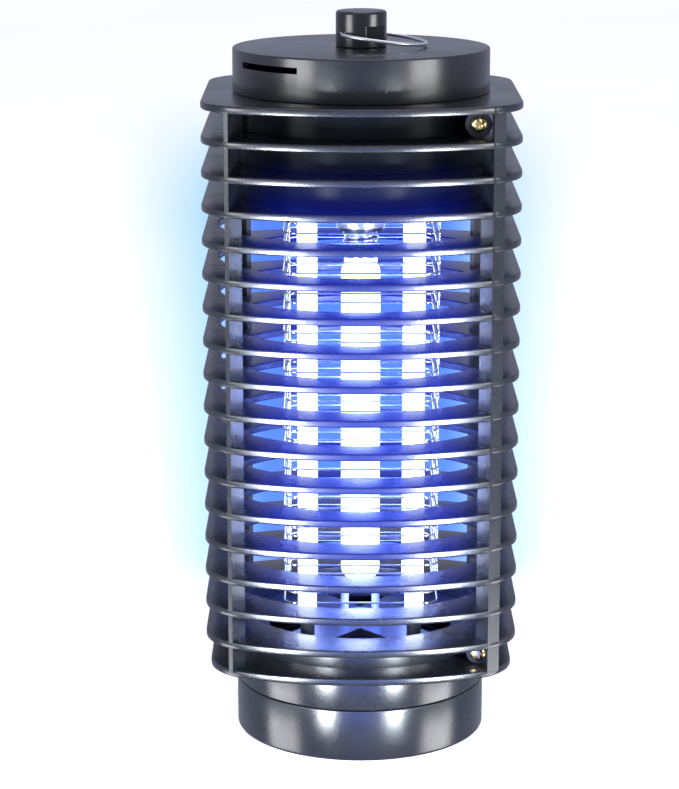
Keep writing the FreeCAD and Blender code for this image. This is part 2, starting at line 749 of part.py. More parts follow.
def wire_loop(half, level):
    """Closed round-cornered square of grid wire."""
    side = size("wire_straight_half")
    bend = (half - side) * math.sqrt(0.5)
    edges = []
    for quarter in range(4):
        turn = FreeCAD.Rotation(UP, 90 * quarter)
        start = turn.multVec(V(half, -side, 0))
        bend_from = turn.multVec(V(half, side, 0))
        bend_middle = turn.multVec(V(side + bend, side + bend, 0))
        bend_to = turn.multVec(V(side, half, 0))
        edges.append(Part.LineSegment(start, bend_from).toShape())
        edges.append(Part.Arc(bend_from, bend_middle, bend_to).toShape())
    path = Part.Wire(edges)
    section = Part.Wire(Part.Circle(V(half, -side, 0), V(0, 1, 0), size("wire_radius")).toShape())
    loop = path.makePipeShell([section], True, False)
    loop.translate(V(0, 0, level))
    return loop


def build_grid(name, half, first_level):
    """Stack of wire loops joined by one bus wire, with the insulated lead that feeds it."""
    pitch, bus_radius = size("wire_pitch"), size("bus_radius")
    loops = [wire_loop(half, first_level + pitch * i) for i in range(int(size("wire_count")))]
    x, y = BUSES[name]
    bottom = first_level - 1
    start = V(amount_of(x), amount_of(y), bottom)
    bus = Part.makeCylinder(bus_radius, amount_of(BUS_TOP) - bottom, start)
    grid = doc.addObject("Part::Feature", "Grid")
    grid.Shape = bus.fuse(loops)
    keep(grid, "grid_" + name)
    keep(cylinder("bus_radius + 0.4", f"board_level - {BUS_TOP}", x, y, BUS_TOP), name + "_lead")


def build_grids():
    first = size("wire_first_level")
    build_grid("live", size("live_half"), first)
    build_grid("return", size("return_half"), first + size("wire_pitch") / 2)


build_posts()
build_grids()


# ---------------------------------------------------------------- deck, collar and tray

# plan outlines of the deck's windows, on the right and at the back
SIDE_WINDOW = [(10.5, 0), (25.6, -19.5), (29.8, -12), (31.2, 0), (29.8, 12), (25.6, 19.5)]
END_WINDOW = [(0, 12), (13, 27.2), (7, 29.2), (0, 29.8), (-7, 29.2), (-13, 27.2)]


def build_deck():
    """Plate across the bottom of the housing: hub, four spokes, rim and four post bosses."""
    body = new_body("deck_plate")
    disc = new_sketch(body, "XY_Plane", "deck_top - deck_thickness")
    circle(disc, "plate_radius")
    pad(body, disc, "deck_thickness")
    trims = new_sketch(body, "XY_Plane", "deck_top")
    for side in ("-", ""):
        rectangle(trims, f"{side}deck_half_width", f"{side}(plate_radius + 2)", "-24", "24")
    pocket(body, trims, "deck_thickness")
    windows = new_sketch(body, "XY_Plane", "deck_top")
    for side in (-1, 1):
        polygon(windows, [(str(side * x), str(y)) for x, y in SIDE_WINDOW])
        polygon(windows, [(str(x), str(side * y)) for x, y in END_WINDOW])
    pocket(body, windows, "deck_thickness")
    bosses = new_sketch(body, "XY_Plane", "deck_top")
    for x, y in POSTS.values():
        circle(bosses, "deck_boss_radius", x, y)
    pad(body, bosses, "post_bottom - deck_top")
    holes = new_sketch(body, "XY_Plane", "post_bottom")
    for x, y in POSTS.values():
        circle(holes, "screw_radius", x, y)
    pocket(body, holes, "post_bottom - deck_top + deck_thickness")
    screws = [add_screw("small_head_radius", "small_head_height", "small_screw_radius", "14",
                        x, y, "deck_top - deck_thickness", UP) for x, y in POSTS.values()]
    keep(group(screws), "post_screws")


def build_collar():
    """Drum under the lowest fin, with a lip that snaps up inside the housing."""
    revolve("base_collar", [
        ("drum_radius - wall", "tray_seam"), ("drum_radius", "tray_seam"),
        ("drum_radius", "base_fin - fin_thickness"),
        ("drum_radius - wall - 0.2", "base_fin - fin_thickness"),
        ("drum_radius - wall - 0.2", "base_fin - 0.1"), ("drum_radius - wall - 1.6", "base_fin - 0.1"),
        ("drum_radius - wall - 1.6", "base_fin - fin_thickness - 1.5"),
        ("drum_radius - wall", "base_fin - 5")])


def build_tray():
    """Collection tray: a shallow cup whose spigot slides up inside the base collar."""
    outer, inner = "drum_radius", "drum_radius - wall - tray_clearance"
    rim = "tray_seam - tray_gap"
    revolve("collection_tray", [
        ("0", "0"), (f"{outer} - 1", "0"), (outer, "1"), (outer, rim), (inner, rim),
        (inner, f"{rim} + spigot_height"), (f"{inner} - 1.6", f"{rim} + spigot_height"),
        (f"{inner} - 1.6", "tray_wall"), ("0", "tray_wall")])


build_deck()
build_collar()
build_tray()


# ---------------------------------------------------------------- check and write

doc.recompute()
for item in doc.Objects:
    if "Invalid" in item.State or "Error" in item.State:
        raise RuntimeError(f"{item.Label} failed: {item.State}")
os.makedirs("parts", exist_ok=True)
for item in parts:
    if item.Shape.isNull() or not item.Shape.isValid():
        raise RuntimeError(f"{item.Label} has no valid shape")
    item.Shape.exportStep(f"parts/{item.Label}.step")
    print(item.Label, len(item.Shape.Solids), round(item.Shape.Volume, 1))
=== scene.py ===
"""Looks of the electric bug zapper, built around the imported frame. Lengths are in metres unless named MM."""
import json
import math

import bmesh
import bpy
from mathutils import Matrix, Vector


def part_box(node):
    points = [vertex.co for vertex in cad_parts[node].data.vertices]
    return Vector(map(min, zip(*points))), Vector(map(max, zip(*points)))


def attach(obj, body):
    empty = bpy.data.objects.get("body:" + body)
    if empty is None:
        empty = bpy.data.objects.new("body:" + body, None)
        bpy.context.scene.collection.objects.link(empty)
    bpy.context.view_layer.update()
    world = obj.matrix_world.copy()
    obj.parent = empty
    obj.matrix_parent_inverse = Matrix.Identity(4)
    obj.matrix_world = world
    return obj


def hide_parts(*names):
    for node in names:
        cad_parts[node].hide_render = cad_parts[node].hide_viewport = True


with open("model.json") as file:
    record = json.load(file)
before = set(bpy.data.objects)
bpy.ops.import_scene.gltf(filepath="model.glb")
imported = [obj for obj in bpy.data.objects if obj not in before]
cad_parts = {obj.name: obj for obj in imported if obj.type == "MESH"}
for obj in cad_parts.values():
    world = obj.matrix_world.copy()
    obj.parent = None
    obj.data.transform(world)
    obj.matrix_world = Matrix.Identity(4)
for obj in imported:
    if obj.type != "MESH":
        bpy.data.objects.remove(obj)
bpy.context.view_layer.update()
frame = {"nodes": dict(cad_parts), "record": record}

MM = 0.001
NODES = frame["nodes"]


# ---------------------------------------------------------------- places read from the frame

SHELL_LOW, SHELL_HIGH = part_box("front_shell")
CAP_LOW, CAP_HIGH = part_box("top_cap")
KNOB_LOW, KNOB_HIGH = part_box("hanger_knob")
COLLAR_LOW, COLLAR_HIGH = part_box("base_collar")
TRAY_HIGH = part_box("collection_tray")[1]
TUBE_LOW, TUBE_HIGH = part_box("lamp_tube")
BASE_LOW, BASE_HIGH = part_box("lamp_base")

DRUM_RADIUS = CAP_HIGH.x
FIN_HALF_WIDTH = SHELL_HIGH.x
FIN_HALF_DEPTH = -SHELL_LOW.y
TOP_FIN = SHELL_HIGH.z
FIN_THICKNESS = 2.4 * MM
FIN_PITCH = 10.8 * MM
FIN_COUNT = 17
CLOSED_FINS = 4
FIN_FRONT_RADIUS = 104 * MM
FIN_CORNER_RADIUS = 20 * MM
FIN_OPENING = (46.3 * MM, 41.8 * MM)
LAST_FIN = TOP_FIN - (FIN_COUNT - 1) * FIN_PITCH
BASE_FIN = SHELL_LOW.z + FIN_THICKNESS
BASE_FIN_INSET = 1.5 * MM
BASE_CORNER_RADIUS = 18.5 * MM
WALL = 2 * MM
SPLIT_GAP = 0.1 * MM
HOUSING_FLOOR = TOP_FIN - (CLOSED_FINS - 1) * FIN_PITCH - FIN_THICKNESS


# ---------------------------------------------------------------- mesh helpers

class Builder:
    """Collects closed islands of vertices and faces for one piece."""

    def __init__(self):
        self.vertices = []
        self.faces = []

    def add(self, vertices, faces):
        start = len(self.vertices)
        self.vertices.extend(vertices)
        self.faces.extend([tuple(start + i for i in face) for face in faces])
        return self

    def turned(self, angle):
        turn = Matrix.Rotation(angle, 3, "Z")
        return Builder().add([turn @ Vector(v) for v in self.vertices], self.faces)

    def mesh(self, name):
        made = bpy.data.meshes.new(name)
        made.from_pydata([tuple(v) for v in self.vertices], [], self.faces)
        made.update()
        clean_normals(made)
        return made

    def make(self, name, body, material, sharp=32):
        return place(bpy.data.objects.new(name, self.mesh(name)), body, material, sharp)


def clean_normals(mesh):
    work = bmesh.new()
    work.from_mesh(mesh)
    bmesh.ops.recalc_face_normals(work, faces=work.faces)
    work.to_mesh(mesh)
    work.free()


def place(piece, body, material, sharp=32):
    """Link a piece, shade it smooth between sharp edges, paint it and let it ride on its body."""
    if piece.name not in bpy.context.scene.collection.objects:
        bpy.context.scene.collection.objects.link(piece)
    if piece.type == "MESH":
        piece.data.shade_smooth()
        piece.data.set_sharp_from_angle(angle=math.radians(sharp))
    piece.data.materials.clear()
    piece.data.materials.append(material)
    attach(piece, body)
    return piece


def grid_faces(rows, columns, wrap_rows=False, wrap_columns=True):
    """Quads between rows of points; wrapped where the rows or columns close on themselves."""
    faces = []
    for i in range(rows if wrap_rows else rows - 1):
        for j in range(columns if wrap_columns else columns - 1):
            a, b = i * columns + j, i * columns + (j + 1) % columns
            k = (i + 1) % rows
            faces.append((a, b, k * columns + (j + 1) % columns, k * columns + j))
    return faces


def lathe(profile, segments=128):
    """Closed solid of revolution; the profile is a closed list of (radius, height) points."""
    vertices = []
    for i in range(segments):
        angle = 2 * math.pi * i / segments
        for radius, height in profile:
            vertices.append((radius * math.cos(angle), radius * math.sin(angle), height))
    return Builder().add(vertices, grid_faces(segments, len(profile), wrap_rows=True))


def weld(piece, distance=1e-6):
    """Merge the points of a turned piece that meet on its axis."""
    work = bmesh.new()
    work.from_mesh(piece.data)
    bmesh.ops.remove_doubles(work, verts=work.verts, dist=distance)
    bmesh.ops.dissolve_degenerate(work, edges=work.edges, dist=distance)
    bmesh.ops.recalc_face_normals(work, faces=work.faces)
    work.to_mesh(piece.data)
    work.free()
    return piece


def rounded(corners, steps=5):
    """Closed outline with round corners; each corner is (x, y, radius)."""
    points = []
    count = len(corners)
    for i, (x, y, radius) in enumerate(corners):
        here = Vector((x, y))
        if radius <= 0:
            points.append((x, y))
            continue
        before = (Vector(corners[i - 1][:2]) - here).normalized()
        after = (Vector(corners[(i + 1) % count][:2]) - here).normalized()
        half = before.angle(after) / 2
        reach = radius / math.tan(half)
        middle = here + (before + after).normalized() * radius / math.sin(half)
        first = here + before * reach - middle
        last = here + after * reach - middle
        sweep = first.angle_signed(last)
        for step in range(steps + 1):
            turn = Matrix.Rotation(-sweep * step / steps, 2)
            spot = middle + turn @ first
            points.append((spot.x, spot.y))
    return points


def prism(outline, bottom, top):
    """Upright prism over a convex outline."""
    vertices = [(x, y, height) for height in (bottom, top) for x, y in outline]
    count = len(outline)
    faces = grid_faces(2, count)
    faces.append(tuple(range(count)))
    faces.append(tuple(range(count, 2 * count)))
    return Builder().add(vertices, faces)


def rod(start, end, radius, segments=24):
    """Plain round rod between two points."""
    start, end = Vector(start), Vector(end)
    along = (end - start).normalized()
    side = along.orthogonal().normalized()
    other = along.cross(side)
    vertices = []
    for centre in (start, end):
        for i in range(segments):
            angle = 2 * math.pi * i / segments
            vertices.append(centre + (side * math.cos(angle) + other * math.sin(angle)) * radius)
    faces = grid_faces(2, segments)
    faces += [tuple(range(segments)), tuple(range(segments, 2 * segments))]
    return Builder().add(vertices, faces)


def cut_away(piece, cutter):
    """Subtract the cutter from the piece and delete the cutter."""
    modifier = piece.modifiers.new("Cut", "BOOLEAN")
    modifier.operation = "DIFFERENCE"
    modifier.solver = "EXACT"
    modifier.object = cutter
    bpy.context.view_layer.update()
    shaped = bpy.data.meshes.new_from_object(piece.evaluated_get(bpy.context.evaluated_depsgraph_get()))
    piece.modifiers.clear()
    piece.data = shaped
    bpy.data.objects.remove(cutter)
    return piece


def cutter_from(builder):
    cutter = bpy.data.objects.new("cutter", builder.mesh("cutter"))
    bpy.context.scene.collection.objects.link(cutter)
    return cutter


# ---------------------------------------------------------------- materials

class Nodes:
    """Adds nodes to one shader tree and links them."""

    def __init__(self, tree):
        self.tree = tree

    def node(self, kind, **values):
        made = self.tree.nodes.new(kind)
        for key, value in values.items():
            setattr(made, key, value)
        return made

    def link(self, source, target):
        self.tree.links.new(source, target)

    def feed(self, source, target):
        """Give an input its value: another node's output, or plain numbers."""
        if isinstance(source, bpy.types.NodeSocket):
            self.link(source, target)
        else:
            target.default_value = source

    def ramp(self, source, low, high, start, end):
        """Smooth step from start to end while the source goes from low to high."""
        made = self.node("ShaderNodeMapRange", interpolation_type="SMOOTHSTEP")
        for socket, value in (("From Min", low), ("From Max", high), ("To Min", start), ("To Max", end)):
            made.inputs[socket].default_value = value
        self.link(source, made.inputs["Value"])
        return made.outputs["Result"]

    def maths(self, operation, *sources):
        made = self.node("ShaderNodeMath", operation=operation)
        for i, source in enumerate(sources):
            self.feed(source, made.inputs[i])
        return made.outputs[0]

    def mix(self, factor, first, second):
        """Colour between two others; inputs 6 and 7 are the colours of this node."""
        made = self.node("ShaderNodeMix", data_type="RGBA")
        self.feed(first, made.inputs[6])
        self.feed(second, made.inputs[7])
        self.link(factor, made.inputs[0])
        return made.outputs[2]

    def axes(self, source):
        made = self.node("ShaderNodeSeparateXYZ")
        self.link(source, made.inputs[0])
        return made.outputs


class Finish(Nodes):
    """A procedural material: a Principled shader with colour, roughness and relief from noise."""

    def __init__(self, name, roughness=0.4, metallic=0.0, specular=0.5, coat=0.0, coat_roughness=0.1):
        self.material = bpy.data.materials.new(name)
        self.material.use_nodes = True
        super().__init__(self.material.node_tree)
        self.shader = self.tree.nodes["Principled BSDF"]
        self.set("Roughness", roughness)
        self.set("Metallic", metallic)
        self.set("Specular IOR Level", specular)
        self.set("Coat Weight", coat)
        self.set("Coat Roughness", coat_roughness)
        self.place = self.node("ShaderNodeTexCoord").outputs["Object"]

    def set(self, socket, value):
        self.shader.inputs[socket].default_value = value

    def noise(self, scale, detail=3.0, stretch=(1, 1, 1)):
        mapping = self.node("ShaderNodeMapping")
        mapping.inputs["Scale"].default_value = stretch
        self.link(self.place, mapping.inputs["Vector"])
        texture = self.node("ShaderNodeTexNoise")
        texture.inputs["Scale"].default_value = scale
        texture.inputs["Detail"].default_value = detail
        self.link(mapping.outputs["Vector"], texture.inputs["Vector"])
        return texture.outputs["Fac"]

    def colour(self, dark, light, scale, detail=3.0, stretch=(1, 1, 1), low=0.35, high=0.65):
        ramp = self.node("ShaderNodeValToRGB")
        ramp.color_ramp.elements[0].position = low
        ramp.color_ramp.elements[1].position = high
        ramp.color_ramp.elements[0].color = (*dark, 1)
        ramp.color_ramp.elements[1].color = (*light, 1)
        self.link(self.noise(scale, detail, stretch), ramp.inputs["Fac"])
        self.link(ramp.outputs["Color"], self.shader.inputs["Base Color"])
        return self

    def vary_roughness(self, low, high, scale, stretch=(1, 1, 1)):
        spread = self.node("ShaderNodeMapRange")
        spread.inputs["From Min"].default_value = 0.3
        spread.inputs["From Max"].default_value = 0.7
        spread.inputs["To Min"].default_value = low
        spread.inputs["To Max"].default_value = high
        self.link(self.noise(scale, 4.0, stretch), spread.inputs["Value"])
        self.link(spread.outputs["Result"], self.shader.inputs["Roughness"])
        return self

    def relief(self, strength, scale, distance=0.0002, stretch=(1, 1, 1), detail=3.0):
        bump = self.node("ShaderNodeBump")
        bump.inputs["Strength"].default_value = strength
        bump.inputs["Distance"].default_value = distance
        self.link(self.noise(scale, detail, stretch), bump.inputs["Height"])
        self.link(bump.outputs["Normal"], self.shader.inputs["Normal"])
        return self

    def glow(self, colour, strength):
        self.set("Emission Color", (*colour, 1))
        self.set("Emission Strength", strength)
        return self


# Reach and colour of the painted blue lamp glow on the fins, and where the gloss is dulled.
PAINTED_GLOW_HALF_WIDTH = (0.016, 0.040)
PAINTED_GLOW_RISE = (0.044, 0.085)
PAINTED_GLOW_FALL = (0.150, 0.200)
WALL_REACH = (0.0424, 0.0436)
WALL_FOOT = (0.150, 0.160)
WALL_TOP = (0.2115, 0.2125)
FACING_UP = (0.4, 0.9)
PAINTED_GLOW_BLUE = (0.005, 0.018, 0.40, 1)


def painted_lamp_glow(finish):
    """Painted blue lamp light: a blue emission on the fins before and behind the lamp, and a duller gloss there
    and on the upper walls.
    """
    spot = finish.axes(finish.place)
    facing = finish.axes(finish.node("ShaderNodeNewGeometry").outputs["Normal"])["Z"]
    across = finish.maths("MULTIPLY", spot["X"], spot["X"])
    reach = finish.maths("ADD", across, finish.maths("MULTIPLY", spot["Y"], spot["Y"]))
    rise, fall = finish.ramp(spot["Z"], *PAINTED_GLOW_RISE, 0, 1), finish.ramp(spot["Z"], *PAINTED_GLOW_FALL, 1, 0)
    beside = finish.ramp(across, PAINTED_GLOW_HALF_WIDTH[0] ** 2, PAINTED_GLOW_HALF_WIDTH[1] ** 2, 1, 0)
    painted_glow = finish.maths("MULTIPLY", beside, finish.maths("MULTIPLY", rise, fall))
    wall = finish.ramp(reach, WALL_REACH[0] ** 2, WALL_REACH[1] ** 2, 1, 0)
    wall = finish.maths("MULTIPLY", wall, finish.ramp(spot["Z"], *WALL_TOP, 1, 0))
    wall = finish.maths("MULTIPLY", wall, finish.ramp(spot["Z"], *WALL_FOOT, 0, 1))
    dull = finish.maths("MAXIMUM", finish.maths("MULTIPLY", painted_glow, finish.ramp(facing, *FACING_UP, 0, 1)), wall)
    finish.link(finish.ramp(dull, 0, 1, 0.5, 0.03), finish.shader.inputs["Specular IOR Level"])
    finish.link(finish.ramp(dull, 0, 1, 0.3, 0.0), finish.shader.inputs["Coat Weight"])
    # Painted blue lamp glow: the fins emit it themselves, though they are no lamp.
    finish.set("Emission Color", PAINTED_GLOW_BLUE)
    finish.link(painted_glow, finish.shader.inputs["Emission Strength"])


def housing_plastic(name, tone=1.0, roughness=(0.24, 0.31), lit=False):
    """Gloss near-black moulding with faint orange peel and hazy patches."""
    finish = Finish(name, specular=0.5, coat=0.3, coat_roughness=0.2)
    finish.colour((0.0045 * tone, 0.0052 * tone, 0.0075 * tone), (0.0075 * tone, 0.0085 * tone, 0.0115 * tone), 60)
    finish.vary_roughness(*roughness, 90)
    finish.relief(0.10, 900)
    # The lit copy gets painted lamp light: a blue emission on the fins near the lamp.
    if lit:
        painted_lamp_glow(finish)
    return finish.material


def plain_plastic(name, dark, light, roughness=(0.35, 0.5), grain=1200, strength=0.15):
    finish = Finish(name)
    finish.colour(dark, light, 140)
    finish.vary_roughness(*roughness, 200)
    finish.relief(strength, grain)
    return finish.material


def bright_metal(name, dark, light, roughness=(0.12, 0.25), stretch=(1, 1, 12), strength=0.12):
    finish = Finish(name, metallic=1.0)
    finish.colour(dark, light, 220, stretch=stretch)
    finish.vary_roughness(*roughness, 500, stretch=stretch)
    finish.relief(strength, 1500, distance=0.00005, stretch=stretch)
    return finish.material


def lamp_glass():
    """Phosphor-coated tube, lit: nearly white, a little bluer where the coating is thin."""
    finish = Finish("lamp_glass_lit", roughness=0.18)
    finish.colour((0.80, 0.88, 1.0), (0.95, 0.98, 1.0), 60)
    finish.relief(0.05, 500)
    finish.glow((0.72, 0.84, 1.0), 2.2)
    return finish.material


def insulator_plastic():
    """White moulded posts with a painted glow that stands in for the lamp's light carried through them."""
    finish = Finish("insulator_white_painted_glow", specular=0.5)
    finish.colour((0.80, 0.84, 0.90), (0.90, 0.93, 0.97), 160)
    finish.vary_roughness(0.3, 0.45, 300)
    finish.relief(0.08, 900)
    # Painted glow: the posts emit light though they are no lamp.
    finish.glow((0.80, 0.88, 1.0), 0.75)
    return finish.material


def board_laminate():
    """Green solder mask over a faint pattern of copper tracks."""
    finish = Finish("board_laminate", roughness=0.35, coat=0.3)
    bricks = finish.node("ShaderNodeTexBrick")
    bricks.inputs["Scale"].default_value = 260
    bricks.inputs["Color1"].default_value = (0.02, 0.16, 0.06, 1)
    bricks.inputs["Color2"].default_value = (0.03, 0.20, 0.08, 1)
    bricks.inputs["Mortar"].default_value = (0.01, 0.10, 0.035, 1)
    finish.link(finish.place, bricks.inputs["Vector"])
    finish.link(bricks.outputs["Color"], finish.shader.inputs["Base Color"])
    finish.relief(0.2, 800)
    return finish.material


HOUSING = housing_plastic("housing_gloss_black")
# Housing plastic with painted blue lamp glow, used for both shell mouldings.
PAINTED_GLOW_HOUSING = housing_plastic("housing_gloss_black_painted_glow", lit=True)
HANGER_PLASTIC = housing_plastic("hanger_gloss_black", 1.3)
CHASSIS = housing_plastic("chassis_satin_black", 1.6, (0.28, 0.4))
SOCKET = plain_plastic("socket_phenolic", (0.012, 0.012, 0.014), (0.02, 0.02, 0.022), (0.3, 0.4))
RUBBER = plain_plastic("bush_rubber", (0.012, 0.012, 0.013), (0.022, 0.022, 0.024), (0.6, 0.8), 1800, 0.3)
WIRE_STEEL = bright_metal("grid_wire_plated", (0.70, 0.73, 0.80), (0.88, 0.90, 0.95), (0.14, 0.24))
BAIL_STEEL = bright_metal("bail_wire_plated", (0.78, 0.79, 0.81), (0.92, 0.93, 0.95), (0.3, 0.42))
BRASS = bright_metal("screw_brass", (0.72, 0.52, 0.20), (0.92, 0.74, 0.36), (0.15, 0.3), (1, 1, 1))
ZINC = bright_metal("screw_zinc", (0.48, 0.49, 0.51), (0.66, 0.67, 0.69), (0.25, 0.4), (1, 1, 1))
SOCKET_METAL = bright_metal("socket_plated_metal", (0.62, 0.63, 0.66), (0.85, 0.86, 0.9), (0.15, 0.3))
LAMP_GLASS = lamp_glass()
INSULATOR = insulator_plastic()
BOARD = board_laminate()

SLOT_MATERIALS = {
    "steel_screw": ZINC,
    "rubber": RUBBER,
    "chassis": CHASSIS,
    "socket": SOCKET,
    "socket_metal": SOCKET_METAL,
    "electrode": bright_metal("electrode_nickel", (0.45, 0.45, 0.46), (0.6, 0.6, 0.62), (0.3, 0.45)),
    "lamp_rest": plain_plastic("lamp_rest_clear_blue", (0.30, 0.36, 0.62), (0.42, 0.48, 0.74), (0.2, 0.3)),
    "insulator": INSULATOR,
    "lead": plain_plastic("lead_red_jacket", (0.40, 0.02, 0.015), (0.55, 0.035, 0.03), (0.35, 0.5)),
    "board": BOARD,
    "standoff": bright_metal("standoff_brass", (0.6, 0.45, 0.2), (0.8, 0.64, 0.32), (0.25, 0.4)),
    "capacitor": plain_plastic("capacitor_sleeve", (0.01, 0.02, 0.07), (0.02, 0.035, 0.11), (0.2, 0.3)),
    "ferrite": plain_plastic("ferrite_core", (0.03, 0.03, 0.033), (0.06, 0.06, 0.064), (0.5, 0.7), 900, 0.4),
    "copper": bright_metal("enamelled_copper", (0.5, 0.2, 0.08), (0.75, 0.36, 0.16), (0.2, 0.35), (12, 1, 1)),
    "diode": plain_plastic("diode_epoxy", (0.012, 0.012, 0.012), (0.025, 0.025, 0.025), (0.3, 0.4)),
    "resistor": plain_plastic("resistor_coating", (0.5, 0.38, 0.22), (0.66, 0.52, 0.34), (0.4, 0.5)),
    "terminal": plain_plastic("terminal_nylon", (0.05, 0.22, 0.12), (0.08, 0.3, 0.17), (0.35, 0.5)),
    "fuse_glass": plain_plastic("fuse_glass_tube", (0.55, 0.58, 0.6), (0.75, 0.78, 0.8), (0.05, 0.12)),
}


def paint_cad_nodes():
    """Give every CAD node that stays in view its slot's material."""
    for row in frame["record"]["subparts"]:
        material = SLOT_MATERIALS.get(row["material_slot"])
        if material:
            mesh = NODES[row["node"]].data
            mesh.materials.clear()
            mesh.materials.append(material)


# ---------------------------------------------------------------- finned housing

def half_outline(half_width, half_depth, corner_radius, steps=26):
    """Front half of the fin's outline, from the left split to the right split."""
    centre_x = half_width - corner_radius
    bow = FIN_FRONT_RADIUS
    centre_y = math.sqrt((bow - corner_radius) ** 2 - centre_x ** 2) - (bow - half_depth)
    lean = math.atan2(centre_y + bow - half_depth, centre_x)
    right = [Vector((half_width, -SPLIT_GAP))]
    for i in range(1, 5):
        right.append(Vector((half_width, -SPLIT_GAP - (centre_y - SPLIT_GAP) * i / 5)))
    for i in range(steps // 2 + 1):
        angle = -lean * i / (steps // 2)
        right.append(Vector((centre_x, -centre_y)) + corner_radius * Vector((math.cos(angle), math.sin(angle))))
    for i in range(1, steps + 1):
        angle = -lean + (lean - math.pi / 2) * i / steps
        right.append(Vector((0, bow - half_depth)) + bow * Vector((math.cos(angle), math.sin(angle))))
    left = [Vector((-p.x, p.y)) for p in right[:-1]]
    return left + right[::-1]


def matching_inner(outline, radius_x, radius_y):
    """Points of an oval opening at the same bearings as the outline's points."""
    points = []
    for p in outline:
        bearing = math.atan2(p.y / radius_y, p.x / radius_x)
        points.append(Vector((radius_x * math.cos(bearing), radius_y * math.sin(bearing))))
    points[0].y = points[-1].y = outline[0].y
    return points


def outward_normals(points):
    normals = []
    for i, p in enumerate(points):
        before, after = points[max(i - 1, 0)], points[min(i + 1, len(points) - 1)]
        along = (after - before).normalized()
        normal = Vector((along.y, -along.x))
        normals.append(normal if normal.dot(p) > 0 else -normal)
    return normals


def half_ring(outline, opening, bottom, top, outer_round=0.6 * MM, inner_round=0.5 * MM, steps=4):
    """Half of a flat ring with rounded rims, capped at the split."""
    outer_normals, inner_normals = outward_normals(outline), outward_normals(opening)
    section = []
    for side, radius in (("outer", outer_round), ("inner", inner_round)):
        arc = [-math.pi / 2 + math.pi / 2 * i / steps for i in range(steps + 1)]
        low = [(radius * (1 - math.cos(a)), bottom + radius * (1 + math.sin(a))) for a in arc]
        high = [(inset, bottom + top - height) for inset, height in reversed(low)]
        run = [(side, inset, height) for inset, height in low + high]
        section += run if side == "outer" else run[::-1]
    vertices = []
    for i, (out, hole) in enumerate(zip(outline, opening)):
        for side, inset, height in section:
            if side == "outer":
                spot = out - outer_normals[i] * inset
            else:
                spot = hole + inner_normals[i] * inset
            if i in (0, len(outline) - 1):
                spot.y = out.y
            vertices.append((spot.x, spot.y, height))
    count = len(section)
    faces = grid_faces(len(outline), count)
    faces.append(tuple(range(count)))
    faces.append(tuple(range((len(outline) - 1) * count, len(outline) * count)))
    return Builder().add(vertices, faces)


def half_circle(radius, steps=64):
    start = math.asin(SPLIT_GAP / radius)
    angles = [math.pi + start + (math.pi - 2 * start) * i / steps for i in range(steps + 1)]
    return [Vector((radius * math.cos(a), radius * math.sin(a))) for a in angles]


POST_FACE = [(40.7, -44.6), (44.48, -41.6), (44.2, -41.0), (41.4, -42.4), (40.1, -43.4)]
POST_RIB = [(40.7, -44.6), (41.4, -42.4), (38.6, -36.8), (37.2, -37.5)]
POST_BLADE = [(-42.67, -43.12), (-41.38, -43.96), (-37.6, -36.3), (-39.0, -35.6)]
UPPER_SCREW = (36.3 * MM, TOP_FIN - (FIN_PITCH + FIN_THICKNESS) / 2)
LOWER_SCREW = (38 * MM, (LAST_FIN - FIN_THICKNESS + BASE_FIN) / 2)
SCREWS = [(*UPPER_SCREW, 36 * MM, 4.2 * MM), (*LOWER_SCREW, 36 * MM, 3.7 * MM)]


def in_metres(outline):
    return [(x * MM, y * MM) for x, y in outline]


def shell_moulding():
    """Front half of the housing: fins, upper and lower drum walls, posts and screw bosses."""
    shell = Builder()

    def add(other):
        shell.add(other.vertices, other.faces)

    outline = half_outline(FIN_HALF_WIDTH, FIN_HALF_DEPTH, FIN_CORNER_RADIUS)
    oval = matching_inner(outline, *FIN_OPENING)
    disc = matching_inner(outline, DRUM_RADIUS - WALL, DRUM_RADIUS - WALL)
    for i in range(FIN_COUNT):
        top = TOP_FIN - i * FIN_PITCH
        closed = i < CLOSED_FINS or i == FIN_COUNT - 1
        add(half_ring(outline, disc if closed else oval, top - FIN_THICKNESS, top))
    small = half_outline(FIN_HALF_WIDTH - BASE_FIN_INSET, FIN_HALF_DEPTH - BASE_FIN_INSET, BASE_CORNER_RADIUS)
    small_disc = matching_inner(small, DRUM_RADIUS - WALL, DRUM_RADIUS - WALL)
    add(half_ring(small, small_disc, BASE_FIN - FIN_THICKNESS, BASE_FIN))
    wall_out, wall_in = half_circle(DRUM_RADIUS), half_circle(DRUM_RADIUS - WALL)
    sunk = 0.3 * MM
    add(half_ring(wall_out, wall_in, HOUSING_FLOOR + sunk, TOP_FIN - sunk, 0.2 * MM, 0.2 * MM))
    add(half_ring(wall_out, wall_in, BASE_FIN - FIN_THICKNESS + sunk, LAST_FIN - sunk, 0.2 * MM, 0.2 * MM))
    foot = BASE_FIN - sunk
    add(prism(in_metres(POST_FACE), foot, TOP_FIN - sunk))
    add(prism(in_metres(POST_RIB), LAST_FIN - FIN_THICKNESS + sunk, TOP_FIN - FIN_PITCH - sunk))
    add(prism(in_metres(POST_BLADE), foot, TOP_FIN - sunk))
    for x, z, seat, radius in SCREWS:
        add(rod((x, -seat, z), (x, -SPLIT_GAP, z), radius, 40))
        add(rod((-x, -20 * MM, z), (-x, -SPLIT_GAP, z), radius, 40))
    return shell


def build_shells():
    shell = shell_moulding()
    front = shell.make("front_shell_moulding", "housing", PAINTED_GLOW_HOUSING)
    rear = shell.turned(math.pi).make("rear_shell_moulding", "housing", PAINTED_GLOW_HOUSING)
    for piece, side in ((front, "front"), (rear, "rear")):
        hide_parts(side + "_shell", side + "_open_fins")


